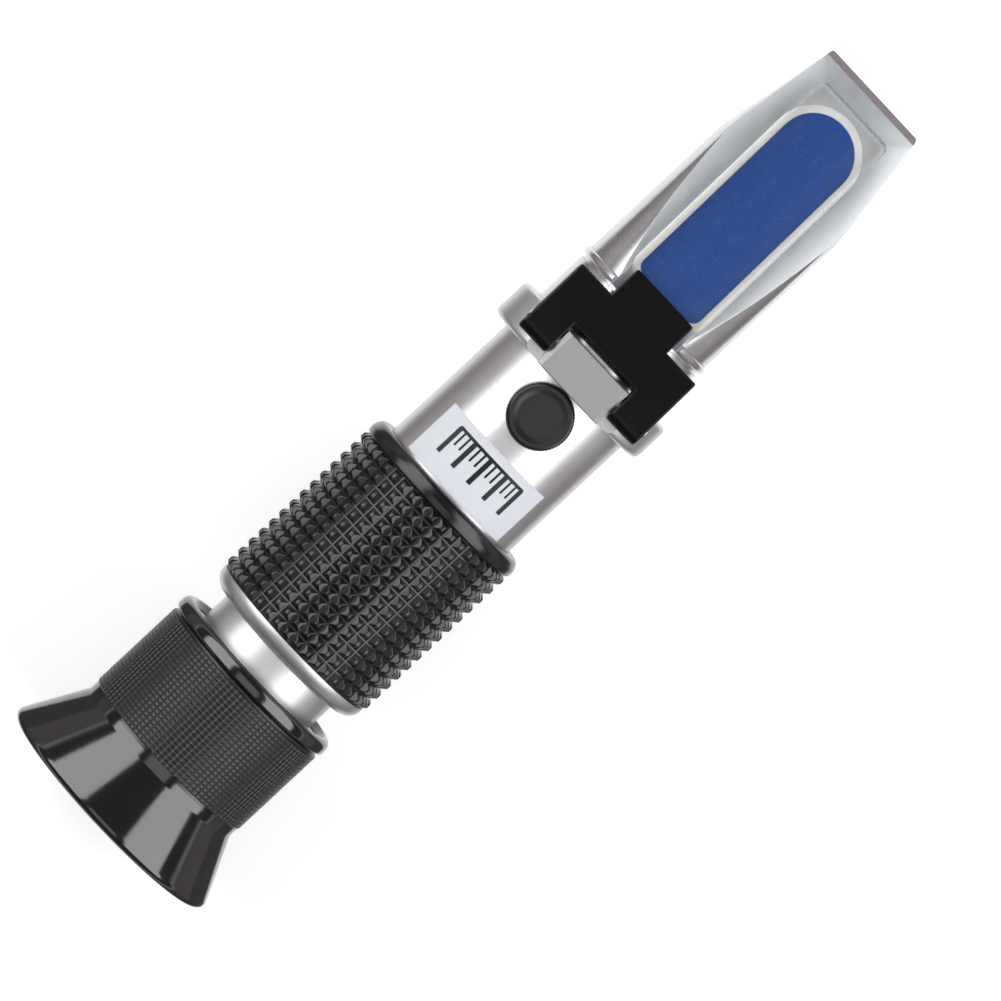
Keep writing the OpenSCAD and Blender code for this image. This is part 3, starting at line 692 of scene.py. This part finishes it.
# %% Studs
row_pitch = (grip_high.x - lip_len - grip_low.x) / stud_rows
round_pitch = math.tau * root_r / studs_round
sunk, stud_edge = 0.12, 0.1
stud = bmesh.new()
bmesh.ops.create_cone(stud, cap_ends=True, segments=4, radius1=math.sqrt(0.5), radius2=0.23,
                      depth=stud_depth + sunk, matrix=Matrix.Rotation(math.radians(45), 4, "Z"))
bmesh.ops.scale(stud, vec=(row_pitch * 0.98, round_pitch * 0.95, 1), verts=stud.verts)
bmesh.ops.translate(stud, verts=stud.verts,
                    vec=(grip_low.x + row_pitch / 2, 0, grip_r - (stud_depth + sunk) / 2))
foot_z = min(v.co.z for v in stud.verts)
bevel_edges(stud, [e for e in stud.edges if max(v.co.z for v in e.verts) > foot_z + 0.1], stud_edge)
first = stud.verts[:] + stud.edges[:] + stud.faces[:]
for row in range(1, stud_rows):
    copy = bmesh.ops.duplicate(stud, geom=first)["geom"]
    bmesh.ops.translate(stud, vec=(row * row_pitch, 0, 0), verts=verts_of(copy))
bmesh.ops.spin(stud, geom=stud.verts[:] + stud.edges[:] + stud.faces[:], cent=(0, 0, 0), axis=(1, 0, 0),
               angle=math.tau * (studs_round - 1) / studs_round, steps=studs_round - 1, use_duplicate=True)
add_mesh(sleeve, stud)
finish_piece(sleeve, "grip_studded", "root", [grip_rubber], ["rubber_grip"], 40)

# %% [markdown]
# ## Screw cap
# A small rubber cap hides the zero screw. It has a slightly dished top, a knurled edge to pull it by,
# and a foot shaped like a saddle, because it sits on a round tube. The saddle is made by lifting
# the foot's points up to the tube's curve.

# %% Cap
cap_top = cap_high.z
cap_ribs = 60
rib, cap_wall, cap_crown = 0.14, 0.75, 0.7
cap = lathe([
    (cap_top - 0.3, 0, 0), (cap_top - 0.22, cap_r - 1.9, 3.0), (cap_top, cap_r - 1.0, 0.5),
    (cap_top, cap_r - rib, 0.45),
    (cap_top - 0.8, cap_r - rib, 0), (cap_low.z, cap_r - rib, 0), (cap_low.z, cap_r - cap_wall, 0),
    (cap_top - cap_crown, cap_r - cap_wall, 0), (cap_top - cap_crown, 0, 0),
], around=cap_ribs, solid=True)
bmesh.ops.rotate(cap, verts=cap.verts, matrix=Matrix.Rotation(-math.pi / 2, 3, "Y"))
side_faces = [f for f in cap.faces
              if abs(f.normal.z) < 0.1 and f.calc_center_median().xy.length > cap_r - 0.4]
bmesh.ops.inset_individual(cap, faces=side_faces, thickness=0.09, depth=rib, use_even_offset=True)
for vert in cap.verts:
    if vert.co.z < cap_low.z + 0.3:
        vert.co.z = math.sqrt((tube_r + 0.15) ** 2 - vert.co.y ** 2) + vert.co.z - cap_low.z
bmesh.ops.translate(cap, vec=(cap_x, 0, 0), verts=cap.verts)
finish_piece(cap, "cap_knurled", "cap", [cap_rubber], ["screw_cap"], 30)

# %% [markdown]
# ## Hinge collar
# The collar is a plated ring with soft corners. Its top is milled away to two flats so that the
# cover's arms can swing, and a square block with two bright chamfers stands between them to carry
# the pin. The ring comes off the lathe, a plane cuts the flats, and the block is a bevelled cube.

# %% Collar
flat_z = pin_z - 3.05
block_half, block_chamfer, soft_edge = 6.35, 0.75, 0.15
collar = lathe([
    (collar_low.x, tube_r + fit_gap, 0.1), (collar_low.x, collar_r, 1.0), (collar_high.x, collar_r, 1.0),
    (collar_high.x, tube_r + fit_gap, 0.1),
])
cut = bmesh.ops.bisect_plane(collar, geom=collar.verts[:] + collar.edges[:] + collar.faces[:],
                             plane_co=(0, 0, flat_z), plane_no=(0, 0, 1), clear_outer=True)
bmesh.ops.edgeloop_fill(collar, edges=edges_of(cut["geom_cut"]))

# %% [markdown]
# Four headless screws under the ring lock the tube and the housing in it. Their holes are drilled
# with a Boolean, because a drilled hole in a round wall has a rim that no extrude would give.

# %% Screw holes and block
screws_low, screws_high = box_mm("collar_set_screws")
hole_r, hole_lean = 1.0, math.radians(135)
drills = bmesh.new()
for hole_x in (screws_low.x + hole_r, screws_high.x - hole_r):
    for side in (-1, 1):
        drill = bmesh.new()
        bmesh.ops.create_cone(drill, cap_ends=True, segments=40, radius1=hole_r, radius2=hole_r, depth=6,
                              matrix=Matrix.Translation((0, 0, collar_r)))
        bmesh.ops.rotate(drill, verts=drill.verts, matrix=Matrix.Rotation(side * hole_lean, 3, "X"))
        bmesh.ops.translate(drill, verts=drill.verts, vec=(hole_x, 0, 0))
        add_mesh(drills, drill)
collar = cut_away(collar, drills)
block = bmesh.new()
bmesh.ops.create_cube(block, size=1)
block_foot = tube_r - 0.9
bmesh.ops.scale(block, verts=block.verts,
                vec=(collar_high.x - collar_low.x, 2 * block_half, collar_high.z - block_foot))
bmesh.ops.translate(block, verts=block.verts,
                    vec=((collar_low.x + collar_high.x) / 2, 0, (collar_high.z + block_foot) / 2))
ridges = [e for e in block.edges if all(v.co.z > collar_high.z - 0.1 for v in e.verts)
          and abs(e.verts[0].co.y - e.verts[1].co.y) < 0.1]
bevel_edges(block, ridges, block_chamfer, 1)
bevel_edges(block, [e for e in block.edges if abs(e.verts[0].co.x - e.verts[1].co.x) < 0.1
                    and max(v.co.z for v in e.verts) > tube_r], soft_edge, 2)
for face in block.faces:
    face.material_index = int(face.normal.z > 0.9)
bmesh.ops.recalc_face_normals(block, faces=block.faces)
add_mesh(collar, block)
finish_piece(collar, "collar_and_block", "root", [satin_silver, block_silver], ["hinge_collar"],
             20)

# %% [markdown]
# The pin is a plain steel rod pressed through the block, with its ends broken by a small rounding.

# %% Pin
pin_r = (pin_high.x - pin_low.x) / 2
pin = lathe([(pin_low.y, 0, 0), (pin_low.y, pin_r, 0.25), (pin_high.y, pin_r, 0.25), (pin_high.y, 0, 0)],
            around=48, solid=True)
bmesh.ops.rotate(pin, verts=pin.verts, matrix=Matrix.Rotation(math.pi / 2, 3, "Z"))
bmesh.ops.translate(pin, vec=(pin_x, 0, pin_z), verts=pin.verts)
finish_piece(pin, "pin_turned", "root", [steel], ["hinge_pin"])

# %% [markdown]
# ## The sloping flat
# The prism end is milled to a flat that slopes down to the tip, and the cover lies parallel to it.
# Everything on that flat is drawn level first, with its origin at the tip, and then tilted into
# place by one matrix. The slope is the line from the tip up to a point just above the tube.

# %% Frame of the flat
tip_z = -0.2
flat_rise = 0.66
slant = math.atan((tube_r + flat_rise - tip_z) / (tip_x - pin_x))
onto_flat = Matrix.Translation((tip_x, 0, tip_z)) @ Matrix.Rotation(slant, 4, "Y")
flat_normal = onto_flat.to_3x3() @ Vector((0, 0, 1))
pin_along = (onto_flat.inverted() @ Vector((pin_x, 0, pin_z))).x
print(f"slope {math.degrees(slant):.2f} degrees, pin at {pin_along:.2f} mm along the flat")


def slab(outline, bottom, top):
    """A flat outline made solid between two heights."""
    mesh = bmesh.new()
    base = mesh.faces.new([mesh.verts.new((x, y, bottom)) for x, y in outline])
    lifted = bmesh.ops.extrude_face_region(mesh, geom=[base])["geom"]
    bmesh.ops.translate(mesh, vec=(0, 0, top - bottom), verts=verts_of(lifted))
    bmesh.ops.recalc_face_normals(mesh, faces=mesh.faces)
    return mesh


def corner(x, y, radius, quarter, steps=6):
    """Points of a rounded corner: quarter 0 is at +X +Y, and they go round anticlockwise."""
    turn_by = [math.radians(90 * (quarter + step / steps)) for step in range(steps + 1)]
    return [(x + radius * math.cos(a), y + radius * math.sin(a)) for a in turn_by]


def stadium(back, end, half, back_corner, grow=0.0):
    """The prism's outline: a rounded front and a nearly square back."""
    inner = half - back_corner
    front = corner(end - half, 0, half + grow, 3, 16) + corner(end - half, 0, half + grow, 0, 16)[1:]
    return (front + corner(back + back_corner, inner, back_corner + grow, 1)
            + corner(back + back_corner, -inner, back_corner + grow, 2))


# %% [markdown]
# ## Cover leaf
# The black leaf has two arms that reach round the block to the pin, a broad body, and a thinner
# tongue over the clear plate. The arm ends are half round so that they clear the collar as they
# swing. All its edges carry a fine chamfer, which shows as a paler line.

# %% Leaf
leaf_low, leaf_top = 0.3, 3.5
leaf_half, slot_half, tongue_half = 12.25, 6.55, 5.95
arm_round, leaf_edge, tongue_edge = 1.5, 0.3, 0.2
arm_end, slot_end = pin_along - 2.65, pin_along + 3.1
body_end, tongue_end = pin_along + 10.3, pin_along + 14.6
plate_top, plate_low = 2.4, 0.4
plate_half = 7.1
plate_back = tongue_end - 7
leaf = slab([(arm_end, leaf_half), (arm_end, slot_half), (slot_end, slot_half), (slot_end, -slot_half),
             (arm_end, -slot_half), (arm_end, -leaf_half), (body_end, -leaf_half), (body_end, leaf_half)],
            leaf_low, leaf_top)
ends = [e for e in leaf.edges if all(v.co.x < arm_end + 0.01 for v in e.verts)
        and abs(e.verts[0].co.z - e.verts[1].co.z) < 0.01]
bevel_edges(leaf, ends, arm_round, 7)
bevel_edges(leaf, sharp_edges(leaf), leaf_edge, 2)
tongue_corner = 0.4
tongue_nose = tongue_end + 1.2
tongue = slab([(body_end - 0.3, -tongue_half)]
              + corner(tongue_nose - tongue_corner, tongue_corner - tongue_half, tongue_corner, 3)
              + corner(tongue_nose - tongue_corner, tongue_half - tongue_corner, tongue_corner, 0)
              + [(body_end - 0.3, tongue_half)], plate_top + 0.02, leaf_top)
bevel_edges(tongue, [e for e in sharp_edges(tongue) if min(v.co.z for v in e.verts) > plate_top + 0.5
                     and max(v.co.x for v in e.verts) > body_end + 0.1], tongue_edge, 2)
add_mesh(leaf, tongue)
bmesh.ops.transform(leaf, matrix=onto_flat, verts=leaf.verts)
finish_piece(leaf, "leaf_moulded", "cover", [black_plastic], ["hinge_leaf"], 20)

# %% [markdown]
# ## Clear plate
# The plate is clear acrylic. Its big faces are polished and its sawn edges are frosted, so the
# faces of the rim get a second, rougher finish.

# %% Plate
plate_end, plate_corner, plate_edge = -4.6, 1.2, 0.12
plate = slab([(plate_back, -plate_half)]
             + corner(plate_end - plate_corner, plate_corner - plate_half, plate_corner, 3)
             + corner(plate_end - plate_corner, plate_half - plate_corner, plate_corner, 0)
             + [(plate_back, plate_half)], plate_low, plate_top)
for face in plate.faces:
    face.material_index = int(abs(face.normal.z) < 0.5)
bevel_edges(plate, sharp_edges(plate), plate_edge, 2)
bmesh.ops.transform(plate, matrix=onto_flat, verts=plate.verts)
finish_piece(plate, "plate_clear", "cover", [clear_plastic, frosted_plastic], ["daylight_plate"],
             20)

# %% [markdown]
# ## Prism housing
# The housing starts as a turned nose with a small bead near the collar. A plane then cuts the
# sloping flat and a second plane cuts the chamfer at the tip. The pocket for the prism is an outline
# laid in the flat: the flat is filled again between its rim and that outline, and the outline is
# pushed down into the metal.

# %% Housing
bead_x = collar_high.x + 9.1
nose_r, end_r, taper_len = tube_r - 0.15, tube_r - 3.3, 19.5
spigot_len, spigot_r, light_bore_r = 4.2, 10.88, 6
shoulder_x, light_bore_end = (collar_low.x + collar_high.x) / 2, collar_high.x + 4
spigot_x = shoulder_x - spigot_len
housing = lathe([
    (light_bore_end, 0, 0), (light_bore_end, light_bore_r, 0), (spigot_x, light_bore_r, 0),
    (spigot_x, spigot_r, 0.2), (shoulder_x, spigot_r, 0), (shoulder_x, tube_r, 0),
    (collar_high.x + fit_gap, tube_r, 0), (collar_high.x + fit_gap, nose_r, 0),
    (bead_x - 0.5, nose_r, 0.1), (bead_x - 0.45, nose_r - 0.4, 0),
    (bead_x - 0.02, nose_r - 0.4, 0), (bead_x, nose_r + 0.4, 0.6), (bead_x + 1.4, nose_r + 0.4, 0.6),
    (bead_x + 1.42, nose_r, 0), (tip_x - taper_len, nose_r, 20), (tip_x, end_r, 0.35), (tip_x, 0, 0),
], around=192, solid=True)
prism_half, prism_back, prism_end = 6.1, -44.3, -6.9
prism_corner, seal_w = 1.5, 1.3
tip_chamfer, tip_edge, pocket_depth = 1.1, 0.3, 2
chamfer_tilt = math.radians(45) + slant / 2
chamfer_normal = Vector((math.sin(chamfer_tilt), 0, math.cos(chamfer_tilt)))
for height, normal in ((tip_z, flat_normal), (tip_z - tip_chamfer, chamfer_normal)):
    cut = bmesh.ops.bisect_plane(housing, geom=housing.verts[:] + housing.edges[:] + housing.faces[:],
                                 plane_co=(tip_x, 0, height), plane_no=normal, clear_outer=True)
    bmesh.ops.edgeloop_fill(housing, edges=edges_of(cut["geom_cut"]))
bmesh.ops.recalc_face_normals(housing, faces=housing.faces)


def flat_of(mesh):
    """The biggest face that lies along the flat."""
    return max((f for f in mesh.faces if f.normal.dot(flat_normal) > 0.99), key=lambda f: f.calc_area())


rim = [e for e in flat_of(housing).edges if min(v.co.x for v in e.verts) > bead_x + 2]
bevel_edges(housing, rim, tip_edge, 2)
flat_face = flat_of(housing)
rim = flat_face.edges[:]
bmesh.ops.delete(housing, geom=[flat_face], context="FACES_ONLY")
pocket = [housing.verts.new(onto_flat @ Vector((x, y, 0)))
          for x, y in stadium(prism_back, prism_end, prism_half, prism_corner, seal_w)]
pocket_rim = [housing.edges.new(pair) for pair in zip(pocket, pocket[1:] + pocket[:1])]
bmesh.ops.triangle_fill(housing, edges=rim + pocket_rim, normal=flat_normal, use_beauty=True)
sunk_rim = bmesh.ops.extrude_edge_only(housing, edges=pocket_rim)["geom"]
bmesh.ops.translate(housing, vec=flat_normal * -pocket_depth, verts=verts_of(sunk_rim))
bmesh.ops.edgeloop_fill(housing, edges=edges_of(sunk_rim))
bmesh.ops.recalc_face_normals(housing, faces=housing.faces)
for face in housing.faces:
    face.material_index = int(face.normal.dot(flat_normal) > 0.99)
finish_piece(housing, "housing_milled", "root", [housing_silver, milled_silver], ["prism_housing"],
             25)

# %% [markdown]
# ## Prism and sealant
# The prism is blue glass ground flat with a tiny broken edge. The sealant round it was laid by hand,
# so its bead swells and thins a little. It is built as a few outlines, each further out, bridged
# one to the next.

# %% Prism
prism_foot, prism_top, broken_edge = -2.6, 0.25, 0.08
prism = slab(stadium(prism_back, prism_end, prism_half, prism_corner), prism_foot, prism_top)
bevel_edges(prism, [e for e in sharp_edges(prism) if min(v.co.z for v in e.verts) > 0], broken_edge, 2)
bmesh.ops.transform(prism, matrix=onto_flat, verts=prism.verts)
finish_piece(prism, "prism_glass", "root", [blue_glass], ["main_prism"], 30)

# %% Sealant
bead_foot = -1.9
bead_section = ((0.02, bead_foot), (0.02, 0.1), (0.35, 0.17), (0.9, 0.13), (seal_w - 0.03, 0.03),
                (seal_w - 0.03, bead_foot))
bead = bmesh.new()
loops = []
for grow, height in bead_section:
    ring = []
    for index, (x, y) in enumerate(stadium(prism_back, prism_end, prism_half, prism_corner, grow)):
        swell = 0.03 * math.sin(index * 0.9) + 0.02 * math.sin(index * 2.3)
        ring.append(bead.verts.new((x, y, height + (swell if height > 0.05 else 0))))
    loops.append([bead.edges.new(pair) for pair in zip(ring, ring[1:] + ring[:1])])
for inner, outer in zip(loops, loops[1:] + loops[:1]):
    bmesh.ops.bridge_loops(bead, edges=inner + outer)
bmesh.ops.recalc_face_normals(bead, faces=bead.faces)
bmesh.ops.transform(bead, matrix=onto_flat, verts=bead.verts)
finish_piece(bead, "sealant_bead", "root", [sealant], ["prism_sealant"], 50)

# %% [markdown]
# ## Marks on the label
# The white label carries a plain printed scale: a base line with short and long ticks. Each
# mark is drawn flat as a thin plate and then wrapped on the tube by turning its width into an angle.

# %% Label marks
label_high = box_mm("tube_label")[1]
label_r = label_high.z
base_x = label_high.x - 1.6
ink_t, ink_lift = 0.02, 0.005
marks = bmesh.new()


def add_bar(x0, x1, y0, y1, pieces):
    """A thin printed bar, cut across into enough pieces to bend."""
    bar = bmesh.new()
    bmesh.ops.create_grid(bar, x_segments=1, y_segments=pieces, size=0.5)
    bmesh.ops.scale(bar, vec=(x1 - x0, y1 - y0, 1), verts=bar.verts)
    bmesh.ops.translate(bar, vec=((x0 + x1) / 2, (y0 + y1) / 2, 0), verts=bar.verts)
    add_mesh(marks, bar)


tick_gap, long_every, ticks_each_way = 1.12, 3, 6
tick_width, long_tick, short_tick = 0.36, 5.0, 2.6
line_half, line_past = 0.25, 0.2
line_reach = tick_gap * ticks_each_way + line_past
add_bar(base_x - line_half, base_x + line_half, -line_reach, line_reach, 40)
for tick in range(-ticks_each_way, ticks_each_way + 1):
    long_one = tick % long_every == 0
    width = tick_width * (2.2 if long_one else 1)
    add_bar(base_x - (long_tick if long_one else short_tick), base_x,
            tick * tick_gap - width / 2, tick * tick_gap + width / 2, 2)
bmesh.ops.solidify(marks, geom=marks.faces[:], thickness=-ink_t)
for vert in marks.verts:
    angle, radius = vert.co.y / label_r, label_r + ink_lift + abs(vert.co.z)
    vert.co = (vert.co.x, radius * math.sin(angle), radius * math.cos(angle))
bmesh.ops.recalc_face_normals(marks, faces=marks.faces)
finish_piece(marks, "label_marks", "root", [label_ink])
